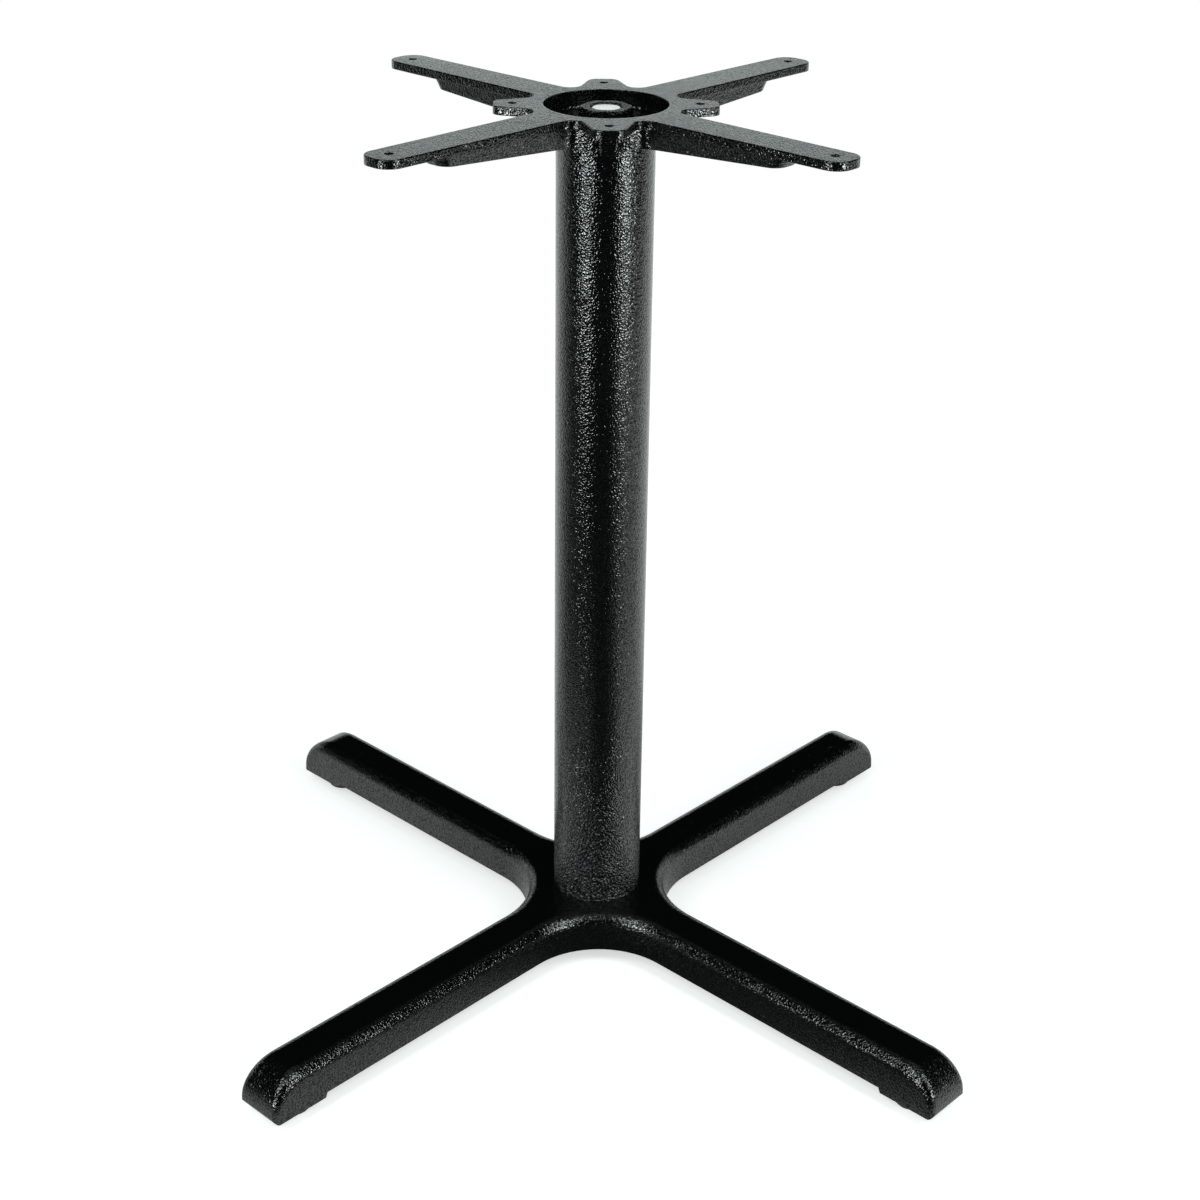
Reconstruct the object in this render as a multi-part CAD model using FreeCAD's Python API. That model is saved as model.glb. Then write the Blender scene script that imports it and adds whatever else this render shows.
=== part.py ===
import FreeCAD, Part
import math
import os

os.makedirs("parts", exist_ok=True)
Vector = FreeCAD.Vector

# Four star table base, millimetres, +Z up, floor at Z = 0, the column on the Z axis.
# The four legs and the four arms of the top plate lie along the diagonals.

# Heights
RIM_ABOVE_FLOOR = 11.0       # lowest rim of the feet, held up by the levelling glides
LEG_HEIGHT = 37.5            # rim to the flat top of the legs
COLUMN_RISE = 691.5          # top of the legs to the top face of the top plate

# Column tube
COLUMN_DIAMETER = 76.0
COLUMN_WALL = 1.5
TUBE_CLEARANCE = 0.4         # round the tube, in its socket and on its locating ring

# Cross foot
LEG_REACH = 384.0            # axis to the end face of a leg
LEG_WIDTH = 45.8             # at the rim
LEG_VALLEY_RADIUS = 72.0     # plan radius between two legs, at the rim
LEG_DRAFT = 3.0              # degrees
LEG_END_RADIUS = 32.0        # from the top down to the end face
LEG_END_RIM_RADIUS = 4.5     # from the end face to the rim
LEG_EDGE_RADIUS = 11.0       # long top edges
LEG_CORNER_RADIUS = 4.5      # upright corners of the end
LEG_WALL = 6.0
UNDERCUT = 4.2               # side walls end this far above the rim of the foot pads
PAD_LENGTH = 50.0
PAD_STEP_SLOPE = 2.0
HUB_BOSS_RADIUS = 29.0
HUB_BOSS_DEPTH = 12.0        # below the top of the legs
HUB_RIB_THICKNESS = 6.0
HUB_RIB_DEPTH = 18.0         # below the top of the legs
LOCATING_RING_HEIGHT = 8.0
LOCATING_RING_WALL = 6.0

# Levelling glides
GLIDE_FROM_LEG_END = 34.0
GLIDE_BOSS_RADIUS = 12.5
GLIDE_BOSS_RECESS = 8.0      # boss face above the rim
GLIDE_HOLE_SPARE = 1.0       # hole left above a stud that is screwed fully in
GLIDE_FOOT_DIAMETER = 29.0
GLIDE_FOOT_HEIGHT = 9.0
GLIDE_FOOT_EDGE = 2.5
GLIDE_FOOT_SHOULDER = 1.5
GLIDE_SOCKET_FLOOR = 4.0
STUD_DIAMETER = 10.0
STUD_LENGTH = 22.0           # above its hexagon
STUD_HEX_FLATS = 17.0
STUD_HEX_HEIGHT = 9.0
STUD_TIP_CHAMFER = 1.2
THREAD_CLEARANCE = 0.05

# Tie rod, its nuts and washers
ROD_DIAMETER = 24.0
ROD_END_CHAMFER = 1.8
ROD_BELOW_PLATE_TOP = 2.8
ROD_TAIL = 3.0               # past the bottom nut
ROD_HOLE_CLEARANCE = 0.5
NUT_FLATS = 36.0
NUT_HEIGHT = 12.0
NUT_CORNER_CHAMFER = 1.8     # inwards, at 30 degrees to the faces
NUT_MOUTH_CHAMFER = 1.0
WASHER_DIAMETER = 44.0
WASHER_THICKNESS = 4.0
SPRING_WASHER_DIAMETER = 40.0
SPRING_WASHER_THICKNESS = 5.0
SPRING_WASHER_SPLIT = 3.0
SPRING_WASHER_SPLIT_ANGLE = 35.0

# Top plate
PLATE_THICKNESS = 6.5
ARM_REACH = 232.0
ARM_TIP_WIDTH = 32.0
ARM_ROOT_WIDTH = 34.4
ARM_TIP_RADIUS = 13.0
ARM_HOLE_FROM_TIP = 16.0
EAR_REACH = 85.0
EAR_TIP_WIDTH = 21.0
EAR_ROOT_WIDTH = 35.0
EAR_TIP_RADIUS = 8.0
EAR_HOLE_FROM_TIP = 14.5
SCREW_HOLE_DIAMETER = 7.0
ROOT_RADIUS = 62.0           # where the root widths of arms and ears are taken
PLATE_VALLEY_RADIUS = 9.0
PLATE_EDGE_RADIUS = 0.8
CUP_RADIUS = 47.5
CUP_DEPTH = 13.9
CUP_FLOOR = 4.9
CUP_FLOOR_RADIUS = 2.5
COLLAR_WALL = 5.0            # round the cup, down to the bottom of the collar
COLLAR_DEPTH = 23.0          # below the plate's top face
COLLAR_DRAFT = 3.0           # degrees
COLLAR_FILLET = 8.0          # between the collar and the arm ribs
ARM_RIB_INSET = 3.0          # from the plate's edge
ARM_RIB_END_FROM_TIP = 51.0
ARM_RIB_END_DEPTH = 14.4     # below the plate's top face
ARM_RIB_WALL = 5.0
ARM_RIB_DRAFT = 6.0          # degrees
ARM_RIB_END_RADIUS = 9.0     # in plan
ARM_RIB_END_LEAN = 9.5       # down to the bottom of the collar
GUSSET_WIDTH = 12.0
GUSSET_END_FROM_EAR_TIP = 19.0

OVERLAP = 1.0                # of solids that are joined, and of cuts past a face

GLIDE_CIRCLE_RADIUS = LEG_REACH - GLIDE_FROM_LEG_END
ARM_HOLE_CIRCLE_RADIUS = ARM_REACH - ARM_HOLE_FROM_TIP
EAR_HOLE_CIRCLE_RADIUS = EAR_REACH - EAR_HOLE_FROM_TIP
ARM_RIB_END = ARM_REACH - ARM_RIB_END_FROM_TIP
GUSSET_REACH = EAR_REACH - GUSSET_END_FROM_EAR_TIP
RIM = RIM_ABOVE_FLOOR
LEG_TOP = RIM + LEG_HEIGHT
PLATE_TOP = LEG_TOP + COLUMN_RISE
PLATE_UNDERSIDE = PLATE_TOP - PLATE_THICKNESS
COLLAR_BOTTOM = PLATE_TOP - COLLAR_DEPTH
CUP_FLOOR_TOP = PLATE_TOP - CUP_DEPTH
CUP_UNDERSIDE = CUP_FLOOR_TOP - CUP_FLOOR
HUB_UNDERSIDE = LEG_TOP - HUB_BOSS_DEPTH
BOTTOM_NUT_FACE = HUB_UNDERSIDE - WASHER_THICKNESS - SPRING_WASHER_THICKNESS - NUT_HEIGHT
STUD_HEX_TOP = GLIDE_SOCKET_FLOOR + STUD_HEX_HEIGHT
GLIDE_BOSS_FACE = RIM + GLIDE_BOSS_RECESS
GLIDE_TRAVEL_IN = GLIDE_BOSS_FACE - STUD_HEX_TOP
ROD_HOLE_RADIUS = ROD_DIAMETER / 2 + ROD_HOLE_CLEARANCE
LEGS = {"back_right": 45, "back_left": 135, "front_left": 225, "front_right": 315}


def spoke(angle, along, across=0.0, z=0.0):
    """A point measured along and across a direction that leaves the axis at an angle."""
    a = math.radians(angle)
    return Vector(along * math.cos(a) - across * math.sin(a), along * math.sin(a) + across * math.cos(a), z)


def meet(a, b, c, d):
    """The point where line a-b meets line c-d in plan."""
    r, s = b - a, d - c
    t = ((c.x - a.x) * s.y - (c.y - a.y) * s.x) / (r.x * s.y - r.y * s.x)
    return a + r * t


def rounded_outline(corners, z):
    """A closed wire at height z through (point, radius) corners, each rounded by its radius."""
    starts, ends, mids = [], [], []
    for i, (point, radius) in enumerate(corners):
        to_last = (corners[i - 1][0] - point).normalize()
        to_next = (corners[(i + 1) % len(corners)][0] - point).normalize()
        half = to_last.getAngle(to_next) / 2
        set_back = radius / math.tan(half)
        middle = (to_last + to_next).normalize() * (radius / math.sin(half) - radius)
        starts.append(point + to_last * set_back)
        ends.append(point + to_next * set_back)
        mids.append(point + middle)
    edges = []
    for i, (point, radius) in enumerate(corners):
        if radius > 0:
            edges.append(Part.Arc(starts[i], mids[i], ends[i]).toShape())
        following = starts[(i + 1) % len(corners)]
        if (following - ends[i]).Length > 1e-6:
            edges.append(Part.makeLine(ends[i], following))
    wire = Part.Wire(edges)
    wire.translate(Vector(0, 0, z))
    return wire


def upright(wire, height):
    return Part.Face(wire).extrude(Vector(0, 0, height))


def turned(points):
    """A solid of revolution about Z from (radius, z) points."""
    profile = Part.makePolygon([Vector(r, 0, z) for r, z in points + points[:1]])
    return Part.Face(profile).revolve(Vector(0, 0, 0), Vector(0, 0, 1), 360)


def cylinder(radius, low, high, centre=Vector(0, 0, 0)):
    return Part.makeCylinder(radius, high - low, Vector(centre.x, centre.y, low))


def across_leg(wire, width, angle):
    """A prism from a wire drawn in the X-Z plane, centred on the direction at an angle."""
    prism = Part.Face(wire).extrude(Vector(0, width, 0))
    prism.translate(Vector(0, -width / 2, 0))
    prism.rotate(Vector(0, 0, 0), Vector(0, 0, 1), angle)
    return prism


def hexagon(flats, low, high, centre=Vector(0, 0, 0)):
    radius = flats / math.sqrt(3)
    points = [spoke(60 * k, radius) + Vector(centre.x, centre.y, low) for k in range(7)]
    return upright(Part.makePolygon(points), high - low)


def fused(shapes):
    return shapes[0].multiFuse(shapes[1:]).removeSplitter()


# Cross foot

def leg_outline(width, valley_radius, reach, z):
    corners = []
    for angle in sorted(LEGS.values()):
        corners.append((spoke(angle, reach, -width / 2), 0.0))
        corners.append((spoke(angle, reach, width / 2), 0.0))
        corners.append((spoke(angle + 45, width / math.sqrt(2)), valley_radius))
    return rounded_outline(corners, z)


def leg_end_cut(reach, end_radius, top, angle):
    """What lies outside the quarter round at the end of a leg."""
    start = Vector(reach - end_radius, 0, top)
    end = Vector(reach, 0, top - end_radius)
    middle = Vector(reach, 0, top) + Vector(-1, 0, -1) * end_radius * (1 - math.sqrt(0.5))
    quarter = Part.Arc(start, middle, end).toShape()
    beyond = [end, end + Vector(end_radius, 0, 0), Vector(reach + end_radius, 0, top + end_radius),
              start + Vector(0, 0, end_radius), start]
    wire = Part.Wire([quarter] + [Part.makeLine(a, b) for a, b in zip(beyond, beyond[1:])])
    return across_leg(wire, 2 * LEG_WIDTH, angle)


def star(inset, low, top):
    """The cross of four legs, drawn in from its outside by an inset, with rounded-down ends."""
    narrowing = (top - low) * math.tan(math.radians(LEG_DRAFT))
    width = LEG_WIDTH - 2 * inset
    valley = LEG_VALLEY_RADIUS + inset
    reach = LEG_REACH - inset
    base = leg_outline(width, valley, reach, low)
    crown = leg_outline(width - 2 * narrowing, valley + narrowing, reach, top)
    body = Part.makeLoft([base, crown], True, True)
    for angle in LEGS.values():
        body = body.cut(leg_end_cut(reach, LEG_END_RADIUS - inset, top, angle))
    return body.removeSplitter()


def valley_radii(body, top):
    """Number and end radii of each edge to be rounded on the sides that face the valley at +Y."""
    shoulder = top - LEG_END_RADIUS
    radii = []
    for number, edge in enumerate(body.Edges, 1):
        centre = edge.CenterOfMass
        turn = math.degrees(math.atan2(centre.x, centre.y))
        levels = sorted([vertex.Z for vertex in edge.Vertexes])
        across_a_leg = abs(abs(centre.x) - abs(centre.y)) < 1e-3
        if across_a_leg or abs(turn) > 45:
            continue
        if levels[0] > top - 1e-3:
            radii.append((number, LEG_EDGE_RADIUS, LEG_EDGE_RADIUS))
        elif centre.Length < LEG_REACH / 2:
            continue
        elif levels[1] > top - 1e-3 and turn > 0:
            radii.append((number, LEG_CORNER_RADIUS, LEG_EDGE_RADIUS))
        elif levels[1] > top - 1e-3:
            radii.append((number, LEG_EDGE_RADIUS, LEG_CORNER_RADIUS))
        elif abs(levels[1] - shoulder) < 1e-3:
            radii.append((number, LEG_CORNER_RADIUS, LEG_CORNER_RADIUS))
    return radii


def rounded_star():
    """The cross with its top edges rounded; the rounding narrows down the corners of each end."""
    body = star(0.0, RIM, LEG_TOP)
    sheet = FreeCAD.newDocument()
    plain = sheet.addObject("Part::Feature", "plain")
    plain.Shape = body
    rounded = sheet.addObject("Part::Fillet", "rounded")
    rounded.Base = plain
    rounded.Edges = valley_radii(body, LEG_TOP)
    sheet.recompute()
    trimmings = body.cut(rounded.Shape)
    for angle in (0, 90, 180, 270):
        turned_trimmings = trimmings.copy()
        turned_trimmings.rotate(Vector(0, 0, 0), Vector(0, 0, 1), angle)
        body = body.cut(turned_trimmings)
    return body.Solids[0]


def end_rim_cut(angle):
    """What lies outside the small radius between the end face of a leg and its rim."""
    r = LEG_END_RIM_RADIUS
    corner = Vector(LEG_REACH, 0, RIM)
    high = corner + Vector(0, 0, r)
    low = corner + Vector(-r, 0, 0)
    middle = corner + Vector(-1, 0, 1) * r * (1 - math.sqrt(0.5))
    beyond = [low, low + Vector(0, 0, -r), corner + Vector(r, 0, -r), high + Vector(r, 0, 0), high]
    round_edge = Part.Arc(high, middle, low).toShape()
    wire = Part.Wire([round_edge] + [Part.makeLine(a, b) for a, b in zip(beyond, beyond[1:])])
    return across_leg(wire, 2 * LEG_WIDTH, angle)


def pad_step_cut(angle):
    """Clears the underside of a leg up to the step of its foot pad."""
    edge = LEG_REACH - PAD_LENGTH
    high = RIM + UNDERCUT
    low = RIM - UNDERCUT
    slope_end = edge - PAD_STEP_SLOPE
    points = [Vector(0, 0, low), Vector(0, 0, high), Vector(slope_end, 0, high), Vector(edge, 0, RIM),
              Vector(edge, 0, low), Vector(0, 0, low)]
    return across_leg(Part.makePolygon(points), LEG_WIDTH + 2 * UNDERCUT, angle)


def cross_foot():
    body = rounded_star()
    ceiling = LEG_TOP - LEG_WALL
    hollow = star(LEG_WALL, RIM - OVERLAP, ceiling)
    body = body.cut(hollow)
    glides = [spoke(angle, GLIDE_CIRCLE_RADIUS) for angle in LEGS.values()]
    valley = LEG_WIDTH / math.sqrt(2) + LEG_VALLEY_RADIUS * (math.sqrt(2) - 1)
    ring_radius = COLUMN_DIAMETER / 2 - COLUMN_WALL - TUBE_CLEARANCE
    ring = cylinder(ring_radius, LEG_TOP - OVERLAP, LEG_TOP + LOCATING_RING_HEIGHT)
    ring = ring.cut(cylinder(ring_radius - LOCATING_RING_WALL, LEG_TOP, LEG_TOP + LOCATING_RING_HEIGHT))
    added = [ring, cylinder(HUB_BOSS_RADIUS, HUB_UNDERSIDE, ceiling + OVERLAP)]
    for centre in glides:
        added.append(cylinder(GLIDE_BOSS_RADIUS, GLIDE_BOSS_FACE, ceiling + OVERLAP, centre))
    for angle in (0, 90, 180, 270):
        rib = Part.makeBox(valley - LEG_WALL / 2, HUB_RIB_THICKNESS, HUB_RIB_DEPTH - LEG_WALL + OVERLAP)
        rib.translate(Vector(0, -HUB_RIB_THICKNESS / 2, LEG_TOP - HUB_RIB_DEPTH))
        rib = rib.cut(cylinder(HUB_BOSS_RADIUS - OVERLAP, RIM, LEG_TOP))
        rib.rotate(Vector(0, 0, 0), Vector(0, 0, 1), angle)
        added.append(rib)
    body = fused([body] + added)
    cuts = [pad_step_cut(angle) for angle in LEGS.values()]
    cuts += [end_rim_cut(angle) for angle in LEGS.values()]
    cuts.append(cylinder(valley + LEG_VALLEY_RADIUS, RIM - UNDERCUT, RIM + UNDERCUT))
    cuts.append(cylinder(ROD_HOLE_RADIUS, RIM, LEG_TOP + LOCATING_RING_HEIGHT))
    hole_top = STUD_HEX_TOP + GLIDE_TRAVEL_IN + STUD_LENGTH + GLIDE_HOLE_SPARE
    for centre in glides:
        cuts.append(cylinder(STUD_DIAMETER / 2 + THREAD_CLEARANCE, RIM, hole_top, centre))
    return body.cut(Part.makeCompound(cuts)).Solids[0]


# Column tube

def column_tube():
    radius = COLUMN_DIAMETER / 2
    outside = cylinder(radius, LEG_TOP, CUP_UNDERSIDE)
    return outside.cut(cylinder(radius - COLUMN_WALL, LEG_TOP, CUP_UNDERSIDE))


# Top plate

def plate_outline():
    corners = []
    for angle in (0, 90, 180, 270):
        ear_side = spoke(angle, ROOT_RADIUS, EAR_ROOT_WIDTH / 2)
        ear_tip = spoke(angle, EAR_REACH, EAR_TIP_WIDTH / 2)
        arm_side = spoke(angle + 45, ROOT_RADIUS, -ARM_ROOT_WIDTH / 2)
        arm_tip = spoke(angle + 45, ARM_REACH, -ARM_TIP_WIDTH / 2)
        far_arm_side = spoke(angle + 45, ROOT_RADIUS, ARM_ROOT_WIDTH / 2)
        far_arm_tip = spoke(angle + 45, ARM_REACH, ARM_TIP_WIDTH / 2)
        next_ear_side = spoke(angle + 90, ROOT_RADIUS, -EAR_ROOT_WIDTH / 2)
        next_ear_tip = spoke(angle + 90, EAR_REACH, -EAR_TIP_WIDTH / 2)
        corners.append((ear_tip, EAR_TIP_RADIUS))
        corners.append((meet(ear_tip, ear_side, arm_tip, arm_side), PLATE_VALLEY_RADIUS))
        corners.append((arm_tip, ARM_TIP_RADIUS))
        corners.append((far_arm_tip, ARM_TIP_RADIUS))
        corners.append((meet(far_arm_tip, far_arm_side, next_ear_tip, next_ear_side), PLATE_VALLEY_RADIUS))
        corners.append((next_ear_tip, EAR_TIP_RADIUS))
    return rounded_outline(corners, PLATE_UNDERSIDE)


def collar():
    """The body of the hub; its seam lies inside an arm rib."""
    drop = PLATE_UNDERSIDE - COLLAR_BOTTOM
    radius = CUP_RADIUS + COLLAR_WALL
    foot_radius = radius - drop * math.tan(math.radians(COLLAR_DRAFT))
    cone = Part.makeCone(foot_radius, radius, drop, Vector(0, 0, COLLAR_BOTTOM))
    cone.rotate(Vector(0, 0, 0), Vector(0, 0, 1), min(LEGS.values()))
    return cone


def arm_rib(angle):
    """The rib under an arm, before its underside is sloped: drafted sides and a rounded, leaning end."""
    drop = PLATE_UNDERSIDE - COLLAR_BOTTOM
    top_half = ARM_TIP_WIDTH / 2 - ARM_RIB_INSET
    low_half = top_half - drop * math.tan(math.radians(ARM_RIB_DRAFT))
    sections = []
    for half, end, z in ((top_half, ARM_RIB_END, PLATE_UNDERSIDE),
                         (low_half, ARM_RIB_END - ARM_RIB_END_LEAN, COLLAR_BOTTOM)):
        r = ARM_RIB_END_RADIUS
        corners = [(0, -half, 0.0), (end, -half, r), (end, half, r), (0, half, 0.0)]
        sections.append(rounded_outline([(spoke(angle, along, across), radius)
                                         for along, across, radius in corners], z))
    return Part.makeLoft(sections, True, True)


def below_rib(angle):
    """The wedge that is cut away so that the underside of an arm rib rises outwards."""
    root = CUP_RADIUS + COLLAR_WALL
    end = ARM_RIB_END + OVERLAP
    below = COLLAR_BOTTOM - COLLAR_DEPTH
    wedge = [Vector(root, 0, COLLAR_BOTTOM), Vector(end, 0, PLATE_TOP - ARM_RIB_END_DEPTH),
             Vector(end, 0, below), Vector(root, 0, below), Vector(root, 0, COLLAR_BOTTOM)]
    return across_leg(Part.makePolygon(wedge), 2 * ARM_ROOT_WIDTH, angle)


def arm_channel(angle):
    """The hollow inside an arm rib, open below."""
    start = CUP_RADIUS + COLLAR_WALL + ARM_RIB_WALL
    end = ARM_RIB_END - ARM_RIB_END_LEAN - ARM_RIB_WALL
    drop = PLATE_UNDERSIDE - COLLAR_BOTTOM
    low_half = ARM_TIP_WIDTH / 2 - ARM_RIB_INSET - drop * math.tan(math.radians(ARM_RIB_DRAFT))
    half = low_half - ARM_RIB_WALL
    corners = [(spoke(angle, along, across), half * 0.6)
               for along, across in ((start, -half), (end, -half), (end, half), (start, half))]
    return upright(rounded_outline(corners, COLLAR_BOTTOM), drop)


def gusset(angle):
    drop = PLATE_UNDERSIDE - COLLAR_BOTTOM
    block = Part.makeBox(GUSSET_REACH, GUSSET_WIDTH, drop)
    block.translate(Vector(0, -GUSSET_WIDTH / 2, COLLAR_BOTTOM))
    block.rotate(Vector(0, 0, 0), Vector(0, 0, 1), angle)
    return block


def top_plate():
    skirt = fused([collar()] + [arm_rib(angle) for angle in LEGS.values()])
    inner_corners = []
    for edge in skirt.Edges:
        centre = edge.CenterOfMass
        distance = math.hypot(centre.x, centre.y)
        upright_edge = edge.BoundBox.ZLength > 0.8 * (PLATE_UNDERSIDE - COLLAR_BOTTOM)
        if upright_edge and distance < CUP_RADIUS + COLLAR_WALL + OVERLAP:
            inner_corners.append(edge)
    skirt = skirt.makeFillet(COLLAR_FILLET, inner_corners)
    for angle in LEGS.values():
        skirt = skirt.cut(below_rib(angle))
    plate = upright(plate_outline(), PLATE_THICKNESS)
    rim_edges = [edge for edge in plate.Edges if edge.BoundBox.ZMin > PLATE_TOP - 1e-3]
    plate = plate.makeFillet(PLATE_EDGE_RADIUS, rim_edges)
    body = fused([plate, skirt] + [gusset(angle) for angle in (0, 90, 180, 270)])
    cup = cylinder(CUP_RADIUS, CUP_FLOOR_TOP, PLATE_TOP)
    floor_edge = [edge for edge in cup.Edges if edge.BoundBox.ZMax < CUP_FLOOR_TOP + 1e-3]
    cup = cup.makeFillet(CUP_FLOOR_RADIUS, floor_edge)
    cuts = [cup, cylinder(ROD_HOLE_RADIUS, COLLAR_BOTTOM, PLATE_TOP)]
    cuts.append(cylinder(COLUMN_DIAMETER / 2 + TUBE_CLEARANCE, COLLAR_BOTTOM - OVERLAP, CUP_UNDERSIDE))
    for angle in LEGS.values():
        hole = spoke(angle, ARM_HOLE_CIRCLE_RADIUS)
        cuts.append(cylinder(SCREW_HOLE_DIAMETER / 2, PLATE_UNDERSIDE - OVERLAP, PLATE_TOP, hole))
        hole = spoke(angle + 45, EAR_HOLE_CIRCLE_RADIUS)
        cuts.append(cylinder(SCREW_HOLE_DIAMETER / 2, PLATE_UNDERSIDE - OVERLAP, PLATE_TOP, hole))
        cuts.append(arm_channel(angle))
    return body.cut(Part.makeCompound(cuts)).Solids[0]


# Tie rod, nuts and washers

def tie_rod():
    low = BOTTOM_NUT_FACE - ROD_TAIL
    high = PLATE_TOP - ROD_BELOW_PLATE_TOP
    r = ROD_DIAMETER / 2
    c = ROD_END_CHAMFER
    return turned([(0, low), (r - c, low), (r, low + c), (r, high - c), (r - c, high), (0, high)])


def nut(low):
    """A thin hexagon nut with its corners and its mouths chamfered on both faces."""
    high = low + NUT_HEIGHT
    corner = NUT_FLATS / math.sqrt(3)
    face = corner - NUT_CORNER_CHAMFER
    c = NUT_CORNER_CHAMFER * math.tan(math.radians(30))
    bore = ROD_DIAMETER / 2 + THREAD_CLEARANCE
    m = NUT_MOUTH_CHAMFER
    facing = turned([(0, low), (face, low), (corner, low + c),
                     (corner, high - c), (face, high), (0, high)])
    mouths = turned([(0, low), (bore + m, low), (bore, low + m),
                     (bore, high - m), (bore + m, high), (0, high)])
    return hexagon(NUT_FLATS, low, high).common(facing).cut(mouths)


def washer(diameter, thickness, high):
    bore = ROD_HOLE_RADIUS
    return cylinder(diameter / 2, high - thickness, high).cut(cylinder(bore, high - thickness, high))


def spring_washer():
    high = HUB_UNDERSIDE - WASHER_THICKNESS
    ring = washer(SPRING_WASHER_DIAMETER, SPRING_WASHER_THICKNESS, high)
    slit = Part.makeBox(SPRING_WASHER_DIAMETER, SPRING_WASHER_SPLIT, 3 * SPRING_WASHER_THICKNESS)
    slit.translate(Vector(0, -SPRING_WASHER_SPLIT / 2, -1.5 * SPRING_WASHER_THICKNESS))
    slit.rotate(Vector(0, 0, 0), Vector(1, 0, 0), SPRING_WASHER_SPLIT_ANGLE)
    slit.translate(Vector(0, 0, high - SPRING_WASHER_THICKNESS / 2))
    return ring.cut(slit)


# Levelling glides

def glide_stud(centre):
    high = STUD_HEX_TOP + STUD_LENGTH
    r = STUD_DIAMETER / 2
    c = STUD_TIP_CHAMFER
    low = GLIDE_SOCKET_FLOOR
    shank = turned([(0, low), (r, low), (r, high - c), (r - c, high), (0, high)])
    shank.translate(centre)
    return fused([shank, hexagon(STUD_HEX_FLATS, low, STUD_HEX_TOP, centre)])


def glide_foot(centre):
    disc = cylinder(GLIDE_FOOT_DIAMETER / 2, 0, GLIDE_FOOT_HEIGHT)
    low_edge = [edge for edge in disc.Edges if edge.BoundBox.ZMax < 1e-3]
    disc = disc.makeFillet(GLIDE_FOOT_EDGE, low_edge)
    high_edge = [edge for edge in disc.Edges if edge.BoundBox.ZMin > GLIDE_FOOT_HEIGHT - 1e-3]
    disc = disc.makeChamfer(GLIDE_FOOT_SHOULDER, high_edge)
    disc.translate(centre)
    return disc.cut(hexagon(STUD_HEX_FLATS, GLIDE_SOCKET_FLOOR, GLIDE_FOOT_HEIGHT, centre))


PARTS = {
    "cross_foot": cross_foot(),
    "column_tube": column_tube(),
    "top_plate": top_plate(),
    "tie_rod": tie_rod(),
    "top_nut": nut(CUP_FLOOR_TOP),
    "bottom_washer": washer(WASHER_DIAMETER, WASHER_THICKNESS, HUB_UNDERSIDE),
    "bottom_spring_washer": spring_washer(),
    "bottom_nut": nut(BOTTOM_NUT_FACE),
}
for leg, angle in LEGS.items():
    PARTS[leg + "_glide_stud"] = glide_stud(spoke(angle, GLIDE_CIRCLE_RADIUS))
    PARTS[leg + "_glide_foot"] = glide_foot(spoke(angle, GLIDE_CIRCLE_RADIUS))

for node, shape in PARTS.items():
    shape.exportStep("parts/" + node + ".step")
    print(node, "volume", round(shape.Volume), "valid", shape.isValid(), "solids", len(shape.Solids))
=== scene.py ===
import math

import bpy
from mathutils import Matrix, Vector


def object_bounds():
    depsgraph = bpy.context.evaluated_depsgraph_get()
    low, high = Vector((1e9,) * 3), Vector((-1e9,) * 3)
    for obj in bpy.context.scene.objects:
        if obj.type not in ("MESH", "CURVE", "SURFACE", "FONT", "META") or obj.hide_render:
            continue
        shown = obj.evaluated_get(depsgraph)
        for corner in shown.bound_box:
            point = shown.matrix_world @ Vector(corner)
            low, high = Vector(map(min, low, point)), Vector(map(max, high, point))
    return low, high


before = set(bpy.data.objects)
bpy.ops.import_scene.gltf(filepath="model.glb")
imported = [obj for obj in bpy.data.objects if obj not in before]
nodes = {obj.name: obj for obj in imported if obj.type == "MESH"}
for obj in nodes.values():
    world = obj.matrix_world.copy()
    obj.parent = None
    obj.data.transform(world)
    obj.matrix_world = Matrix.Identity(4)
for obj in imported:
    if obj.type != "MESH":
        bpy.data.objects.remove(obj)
cad_low, cad_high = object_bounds()

# Camera, found by fitting the photograph's holes, column edges and leg corners; distances in metres
FOCAL_PIXELS = 2099.22
PHOTO_PIXELS = 1200
SENSOR_MM = 36.0
CAMERA_DISTANCE = 1.57446
CAMERA_ABOVE_TOP = 0.36128
CAMERA_PITCH = math.radians(26.233)
CAMERA_ROLL = math.radians(0.727)
OBJECT_TURN = math.radians(1.8498)

# Powder coat: grain in features per metre and metres of height
COAT_GRAIN = 700.0
COAT_GRAIN_HEIGHT = 0.0004
NUT_GRAIN_HEIGHT = 2.4 * COAT_GRAIN_HEIGHT
COAT_COLOUR = (0.001, 0.0015, 0.0014)
COAT_EDGE_RADIUS = 0.0012
COAT_ROUGHNESS = 0.07
PLATE_ROUGHNESS = 0.12
NUT_ROUGHNESS = 0.14

# Specular level of the coat, from the valleys to the crests of its grain, and where its noise has those; the
# low level in the valleys is painted shade
SHINE_WITH_PAINTED_VALLEY_SHADE = (0.35, 1.15)
VALLEY_AND_CREST = (0.36, 0.6)

# Gain of the grain on the tube's foot, fading out between two heights above the floor
TUBE_FOOT_GAIN = 3.4
TUBE_FOOT_HEIGHTS = (0.07, 0.22)

# Gain of the grain on the casting's level tops, coming in between two values of the surface normal's Z
LEVEL_TOP_GAIN = 0.3
LEVEL_NORMAL_Z = (0.9, 0.98)

# Metals, with the pitch and depth of the threads on the tie rod and on the levelling glides
ROD_COLOUR = (0.96, 0.96, 0.94)
ROD_ROUGHNESS = 0.14
ROD_MARKS_HEIGHT = 0.00002
ROD_THREAD = (0.003, 0.0008)
ZINC_COLOUR = (0.62, 0.63, 0.62)
ZINC_ROUGHNESS = 0.32
ZINC_MARKS_HEIGHT = 0.00006
GLIDE_THREAD = (0.0015, 0.0005)

# Nylon: its colour, and the colour of its scuffs
NYLON_COLOUR = (0.016, 0.016, 0.017)
SCUFF_COLOUR = (0.035, 0.035, 0.034)

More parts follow.
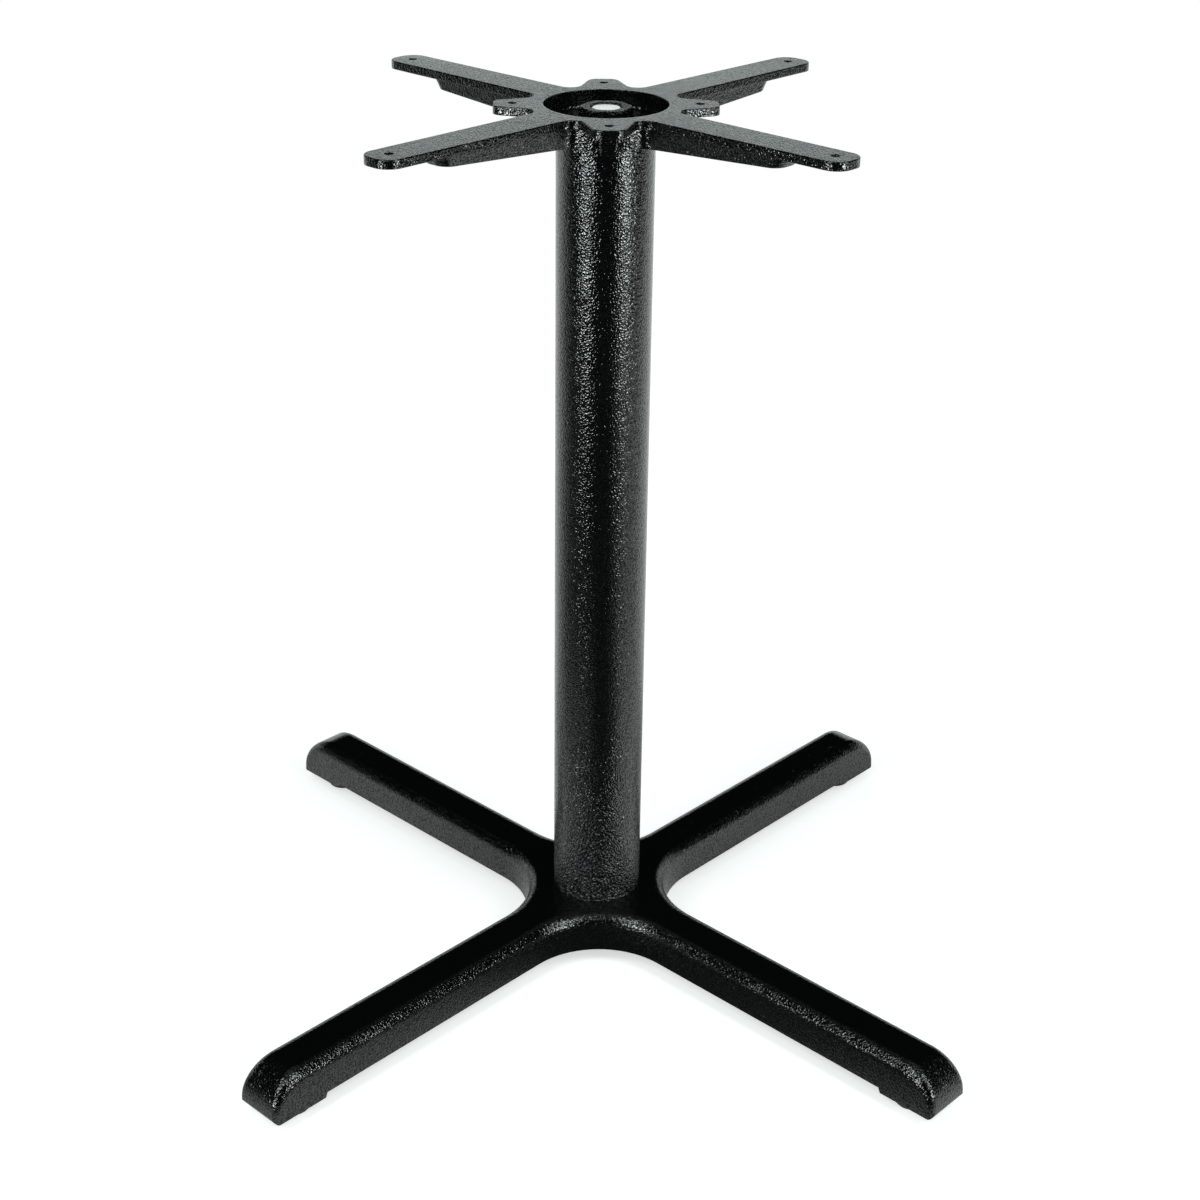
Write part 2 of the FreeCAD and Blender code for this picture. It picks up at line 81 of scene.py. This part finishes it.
# Phase of the wave texture at a scale of 1, in radians per metre
WAVE_PHASE = 20


# Small helpers

def socket(node, name, value):
    node.inputs[name].default_value = value


def new_material(name):
    material = bpy.data.materials.new(name)
    material.use_nodes = True
    tree = material.node_tree
    return material, tree, tree.nodes["Principled BSDF"]


def object_place(tree):
    """Position in the object's own metres."""
    return tree.nodes.new("ShaderNodeTexCoord").outputs["Object"]


def object_axis(tree, axis):
    parts = tree.nodes.new("ShaderNodeSeparateXYZ")
    tree.links.new(object_place(tree), parts.inputs["Vector"])
    return parts.outputs[axis]


def facing_up(tree):
    """Z of the surface normal, 1 where the surface is level and looks up."""
    parts = tree.nodes.new("ShaderNodeSeparateXYZ")
    tree.links.new(tree.nodes.new("ShaderNodeTexCoord").outputs["Normal"], parts.inputs["Vector"])
    return parts.outputs["Z"]


def object_noise(tree, scale, detail=2.0, distortion=0.0):
    """Noise fixed to the object; scale is in features per metre."""
    noise = tree.nodes.new("ShaderNodeTexNoise")
    socket(noise, "Scale", scale)
    socket(noise, "Detail", detail)
    socket(noise, "Distortion", distortion)
    tree.links.new(object_place(tree), noise.inputs["Vector"])
    return noise.outputs["Fac"]


def spread(tree, value, low, high, start=0.3, end=0.7):
    """Maps a value that runs from start to end onto low to high, clamped."""
    remap = tree.nodes.new("ShaderNodeMapRange")
    for name, number in (("From Min", start), ("From Max", end), ("To Min", low), ("To Max", high)):
        socket(remap, name, number)
    tree.links.new(value, remap.inputs["Value"])
    return remap.outputs["Result"]


def arithmetic(tree, operation, first, second):
    node = tree.nodes.new("ShaderNodeMath")
    node.operation = operation
    for plug, value in zip(node.inputs, (first, second)):
        if isinstance(value, float):
            plug.default_value = value
        else:
            tree.links.new(value, plug)
    return node.outputs["Value"]


def blend_values(tree, factor, first, second):
    mix = tree.nodes.new("ShaderNodeMix")
    tree.links.new(factor, mix.inputs["Factor"])
    for name, value in (("A", first), ("B", second)):
        if isinstance(value, float):
            socket(mix, name, value)
        else:
            tree.links.new(value, mix.inputs[name])
    return mix.outputs["Result"]


def blend_colours(tree, factor, first, second):
    mix = tree.nodes.new("ShaderNodeMix")
    mix.data_type = "RGBA"
    socket(mix, "A", (*first, 1.0))
    socket(mix, "B", (*second, 1.0))
    tree.links.new(factor, mix.inputs["Factor"])
    return mix.outputs["Result"]


def softened_edges(tree, radius):
    bevel = tree.nodes.new("ShaderNodeBevel")
    bevel.samples = 6
    socket(bevel, "Radius", radius)
    return bevel.outputs["Normal"]


def bump(tree, height, distance, strength=1.0, normal=None):
    node = tree.nodes.new("ShaderNodeBump")
    socket(node, "Strength", strength)
    socket(node, "Distance", distance)
    tree.links.new(height, node.inputs["Height"])
    if normal is not None:
        tree.links.new(normal, node.inputs["Normal"])
    return node.outputs["Normal"]


# Materials

def textured_coat(name, height, roughness, foot_gain=1.0, level_top_gain=1.0):
    """Black powder coat with a wrinkled grain of the given height, thick enough to soften sharp edges.

    The gains change that height low above the floor and on level tops.
    """
    material, tree, shader = new_material(name)
    wrinkles = object_noise(tree, COAT_GRAIN, detail=0.0, distortion=0.4)
    patches = object_noise(tree, 9.0, detail=3.0)
    lighter = tuple(1.5 * channel for channel in COAT_COLOUR)
    tree.links.new(blend_colours(tree, wrinkles, COAT_COLOUR, lighter), shader.inputs["Base Color"])
    tree.links.new(spread(tree, patches, roughness - 0.04, roughness + 0.05), shader.inputs["Roughness"])
    # Painted shade: the grain's valleys reflect less, standing in for the shade inside its crevices
    shine_with_painted_valley_shade = spread(tree, wrinkles, *SHINE_WITH_PAINTED_VALLEY_SHADE, *VALLEY_AND_CREST)
    tree.links.new(shine_with_painted_valley_shade, shader.inputs["Specular IOR Level"])
    waves = bump(tree, patches, 0.002, strength=0.25, normal=softened_edges(tree, COAT_EDGE_RADIUS))
    near_floor = spread(tree, object_axis(tree, "Z"), foot_gain, 1.0, *TUBE_FOOT_HEIGHTS)
    on_top = spread(tree, facing_up(tree), 1.0, level_top_gain, *LEVEL_NORMAL_Z)
    gain = arithmetic(tree, "MULTIPLY", near_floor, on_top)
    grain = bump(tree, arithmetic(tree, "MULTIPLY", wrinkles, gain), height, normal=waves)
    tree.links.new(grain, shader.inputs["Normal"])
    return material


def bright_steel(name, colour, roughness, marks_height, thread=None):
    """Plated or bare steel with fine marks from turning and handling; thread is a pitch and a depth."""
    material, tree, shader = new_material(name)
    socket(shader, "Metallic", 1.0)
    marks = object_noise(tree, 800.0, detail=6.0, distortion=0.4)
    clouds = object_noise(tree, 60.0, detail=3.0)
    darker = tuple(0.8 * channel for channel in colour)
    tree.links.new(blend_colours(tree, clouds, darker, colour), shader.inputs["Base Color"])
    tree.links.new(spread(tree, marks, roughness - 0.06, roughness + 0.1), shader.inputs["Roughness"])
    surface = bump(tree, marks, marks_height, strength=0.6)
    if thread:
        pitch, depth = thread
        rings = tree.nodes.new("ShaderNodeTexWave")
        rings.bands_direction = "Z"
        rings.wave_profile = "TRI"
        socket(rings, "Scale", 2 * math.pi / (WAVE_PHASE * pitch))
        tree.links.new(object_place(tree), rings.inputs["Vector"])
        surface = bump(tree, rings.outputs["Fac"], depth, normal=surface)
    tree.links.new(surface, shader.inputs["Normal"])
    return material


def moulded_nylon(name):
    """Matt black nylon with a faint spark-eroded grain."""
    material, tree, shader = new_material(name)
    grain = object_noise(tree, 2600.0)
    scuffs = object_noise(tree, 140.0, detail=5.0, distortion=1.0)
    tree.links.new(blend_colours(tree, scuffs, NYLON_COLOUR, SCUFF_COLOUR), shader.inputs["Base Color"])
    tree.links.new(spread(tree, scuffs, 0.45, 0.68), shader.inputs["Roughness"])
    tree.links.new(bump(tree, grain, 0.00005, strength=0.7), shader.inputs["Normal"])
    return material


def dress(node, material):
    for slot in nodes[node].material_slots:
        slot.material = material


casting_coat = textured_coat("textured black powder coat", COAT_GRAIN_HEIGHT, COAT_ROUGHNESS,
                             level_top_gain=LEVEL_TOP_GAIN)
tube_coat = textured_coat("textured black powder coat on tube", COAT_GRAIN_HEIGHT, COAT_ROUGHNESS,
                          foot_gain=TUBE_FOOT_GAIN)
plate_coat = textured_coat("textured black powder coat on plate", COAT_GRAIN_HEIGHT, PLATE_ROUGHNESS)
nut_coat = textured_coat("textured black powder coat on nut", NUT_GRAIN_HEIGHT, NUT_ROUGHNESS)
rod_steel = bright_steel("bare bright steel", ROD_COLOUR, ROD_ROUGHNESS, ROD_MARKS_HEIGHT, ROD_THREAD)
zinc = bright_steel("zinc plate", ZINC_COLOUR, ZINC_ROUGHNESS, ZINC_MARKS_HEIGHT)
threaded_zinc = bright_steel("threaded zinc plate", ZINC_COLOUR, ZINC_ROUGHNESS, ZINC_MARKS_HEIGHT,
                             GLIDE_THREAD)
nylon = moulded_nylon("moulded black nylon")

dress("cross_foot", casting_coat)
dress("column_tube", tube_coat)
dress("top_plate", plate_coat)
dress("top_nut", nut_coat)
dress("tie_rod", rod_steel)
for name in ("bottom_washer", "bottom_spring_washer", "bottom_nut"):
    dress(name, zinc)
for name in nodes:
    if name.endswith("_glide_stud"):
        dress(name, threaded_zinc)
    elif name.endswith("_glide_foot"):
        dress(name, nylon)


# Camera

def photo_camera():
    """The photograph's camera, turned into the frame of the part."""
    target_height = cad_high.z + CAMERA_ABOVE_TOP
    turn = Matrix.Rotation(-OBJECT_TURN, 3, "Z")
    forward = turn @ Vector((0.0, math.cos(CAMERA_PITCH), -math.sin(CAMERA_PITCH)))
    level_right = turn @ Vector((1.0, 0.0, 0.0))
    level_up = level_right.cross(forward)
    right = math.cos(CAMERA_ROLL) * level_right + math.sin(CAMERA_ROLL) * level_up
    up = math.cos(CAMERA_ROLL) * level_up - math.sin(CAMERA_ROLL) * level_right
    data = bpy.data.cameras.new("photo camera")
    data.sensor_width = SENSOR_MM
    data.lens = FOCAL_PIXELS / PHOTO_PIXELS * SENSOR_MM
    data.clip_start = 0.01
    data.clip_end = 50.0
    camera = bpy.data.objects.new("photo camera", data)
    bpy.context.scene.collection.objects.link(camera)
    place = turn @ Vector((0.0, -CAMERA_DISTANCE, 0.0))
    rotation = Matrix((right, up, -forward)).transposed()
    camera.matrix_world = Matrix.Translation((place.x, place.y, target_height)) @ rotation.to_4x4()
    bpy.context.scene.camera = camera


# Light and floor

FLOOR_RADIUS = 2.6
FLOOR_COLOUR = (0.86, 0.87, 0.865)
TINT = (0.9, 1.0, 0.975)

# Glow added to the floor at two distances from the column, as the camera sees it and the object mirrors it
GLOW_DISTANCES = (0.5, 1.7)
SEEN_GLOW = (0.56, 0.75)
MIRRORED_GLOW = (0.36, 0.7)

# Painted light and shade on the floor, seen only in reflections: how white the floor looks there, within
# NEAR_RADIUS of the column and beyond
# FAR_RADIUS, by the bearing from the column in degrees: 0 is towards the camera, and positive to its right
NEAR_PAINTED_FLOOR_LIGHT = ((-150, 1.0), (-120, 0.72), (-90, 0.45), (-60, 0.5), (-36, 0.6), (-20, 0.12), (0, 0.03),
                  (34, 0.08), (44, 0.7), (60, 1.0), (105, 0.85), (125, 0.62), (150, 0.65))
FAR_PAINTED_FLOOR_LIGHT = ((-150, 1.0), (-120, 0.7), (-90, 0.14), (-60, 0.06), (-35, 0.02), (22, 0.02), (40, 0.14),
                 (60, 0.45), (90, 0.6), (115, 1.0))
NEAR_RADIUS = 0.4
FAR_RADIUS = 0.55

# World: its plain light, and how it fades where the object mirrors it, by the Y and Z of the direction
AMBIENT = 0.3
BACKDROP_TOP_Z = (0.26, 0.34)
BACKDROP_FRONT_Y = (0.1, 0.45)
OVERHEAD_EDGE_Z = (0.84, 0.97)
OVERHEAD_GLOW = 0.3
DARK_STUDIO_GLOW = 0.006

# Softboxes, a lower and an upper pair at the same bearings, in degrees and metres. The lower pair ends below
# the top plate, which would mirror it as white when seen from behind
SOFTBOX_BEARINGS = {"left": -44, "right": 47}
LOWER_SOFTBOX = {"distance": 2.1, "middle": 0.45, "width": 0.8, "height": 0.5, "radiance": 12.0, "aim": 0.45}
UPPER_SOFTBOX = {"distance": 1.9, "middle": 2.1, "width": 1.0, "height": 1.2, "radiance": 5.0, "aim": 0.1}


def distance_out(tree):
    length = tree.nodes.new("ShaderNodeVectorMath")
    length.operation = "LENGTH"
    tree.links.new(object_place(tree), length.inputs[0])
    return length.outputs["Value"]


def by_bearing(tree, turn, table):
    ramp = tree.nodes.new("ShaderNodeValToRGB")
    points = ramp.color_ramp.elements
    while len(points) < len(table):
        points.new(0.5)
    for point, (degrees, white) in zip(points, table):
        point.position = degrees / 360 + 0.5
        point.color = (white, white, white, 1.0)
    tree.links.new(turn, ramp.inputs["Fac"])
    return ramp.outputs["Color"]


def painted_floor_light_in_reflections(tree):
    """Painted light and shade on the floor where the object mirrors it: how white the floor is there."""
    front = arithmetic(tree, "MULTIPLY", object_axis(tree, "Y"), -1.0)
    bearing = arithmetic(tree, "ARCTAN2", object_axis(tree, "X"), front)
    turn = spread(tree, bearing, 0.0, 1.0, -math.pi, math.pi)
    far = spread(tree, distance_out(tree), 0.0, 1.0, NEAR_RADIUS, FAR_RADIUS)
    near_white, far_white = (by_bearing(tree, turn, table) for table in (NEAR_PAINTED_FLOOR_LIGHT, FAR_PAINTED_FLOOR_LIGHT))
    return blend_values(tree, far, near_white, far_white)


def pale_floor():
    """A white floor that takes shadows; only in reflections, painted shade by bearing shows the studio's
    darker side.
    """
    bpy.ops.mesh.primitive_circle_add(vertices=96, radius=FLOOR_RADIUS, fill_type="NGON")
    floor = bpy.context.object
    floor.name = "floor"
    material, tree, shader = new_material("pale floor")
    path = tree.nodes.new("ShaderNodeLightPath")
    # Painted light and shade: in reflections only, the floor's colour and glow follow the painted map by
    # bearing and distance
    white = blend_values(tree, path.outputs["Is Glossy Ray"], 1.0, painted_floor_light_in_reflections(tree))
    tree.links.new(blend_colours(tree, white, (0.0, 0.0, 0.0), FLOOR_COLOUR), shader.inputs["Base Color"])
    socket(shader, "Roughness", 0.9)
    socket(shader, "Specular IOR Level", 0.0)
    socket(shader, "Emission Color", (1.0, 1.0, 1.0, 1.0))
    glows = []
    for ray, (near, far) in (("Is Camera Ray", SEEN_GLOW), ("Is Glossy Ray", MIRRORED_GLOW)):
        glow = spread(tree, distance_out(tree), near, far, *GLOW_DISTANCES)
        glows.append(arithmetic(tree, "MULTIPLY", path.outputs[ray], glow))
    tree.links.new(arithmetic(tree, "MULTIPLY", arithmetic(tree, "ADD", *glows), white),
                   shader.inputs["Emission Strength"])
    floor.data.materials.append(material)


def studio_world():
    """White to the camera; in reflections white low down behind, dim right overhead and dark elsewhere."""
    world = bpy.data.worlds.new("studio")
    bpy.context.scene.world = world
    world.use_nodes = True
    tree = world.node_tree
    background = tree.nodes["Background"]
    parts = tree.nodes.new("ShaderNodeSeparateXYZ")
    tree.links.new(tree.nodes.new("ShaderNodeTexCoord").outputs["Generated"], parts.inputs["Vector"])
    low = spread(tree, parts.outputs["Z"], 1.0, 0.0, *BACKDROP_TOP_Z)
    behind = spread(tree, parts.outputs["Y"], 0.0, 1.0, *BACKDROP_FRONT_Y)
    overhead = spread(tree, parts.outputs["Z"], DARK_STUDIO_GLOW, OVERHEAD_GLOW, *OVERHEAD_EDGE_Z)
    backdrop = arithmetic(tree, "ADD", arithmetic(tree, "MULTIPLY", low, behind), overhead)
    path = tree.nodes.new("ShaderNodeLightPath")
    mirrored = blend_values(tree, path.outputs["Is Glossy Ray"], AMBIENT, backdrop)
    strength = arithmetic(tree, "MAXIMUM", mirrored, path.outputs["Is Camera Ray"])
    colour = blend_colours(tree, path.outputs["Is Camera Ray"], TINT, (1.0, 1.0, 1.0))
    tree.links.new(colour, background.inputs["Color"])
    tree.links.new(strength, background.inputs["Strength"])


def softbox(name, bearing, distance, middle, width, height, radiance, aim):
    """An upright soft light turned to the column, with its middle at one height and its aim at another.

    Bearing 0 is the camera's side, and bearings grow towards +X.
    """
    data = bpy.data.lights.new(name, "AREA")
    data.shape = "RECTANGLE"
    data.size = width
    data.size_y = height
    data.energy = radiance * math.pi * width * height
    data.color = TINT
    lamp = bpy.data.objects.new(name, data)
    bpy.context.scene.collection.objects.link(lamp)
    angle = math.radians(bearing)
    lamp.location = Vector((math.sin(angle) * distance, -math.cos(angle) * distance, middle))
    lamp.rotation_mode = "QUATERNION"
    lamp.rotation_quaternion = (lamp.location - Vector((0.0, 0.0, aim))).to_track_quat("Z", "Y")


photo_camera()
pale_floor()
studio_world()
for level, setting in (("", LOWER_SOFTBOX), ("upper ", UPPER_SOFTBOX)):
    for side, bearing in SOFTBOX_BEARINGS.items():
        softbox(f"{level}{side} softbox", bearing, **setting)

bpy.context.scene.view_settings.view_transform = "Standard"
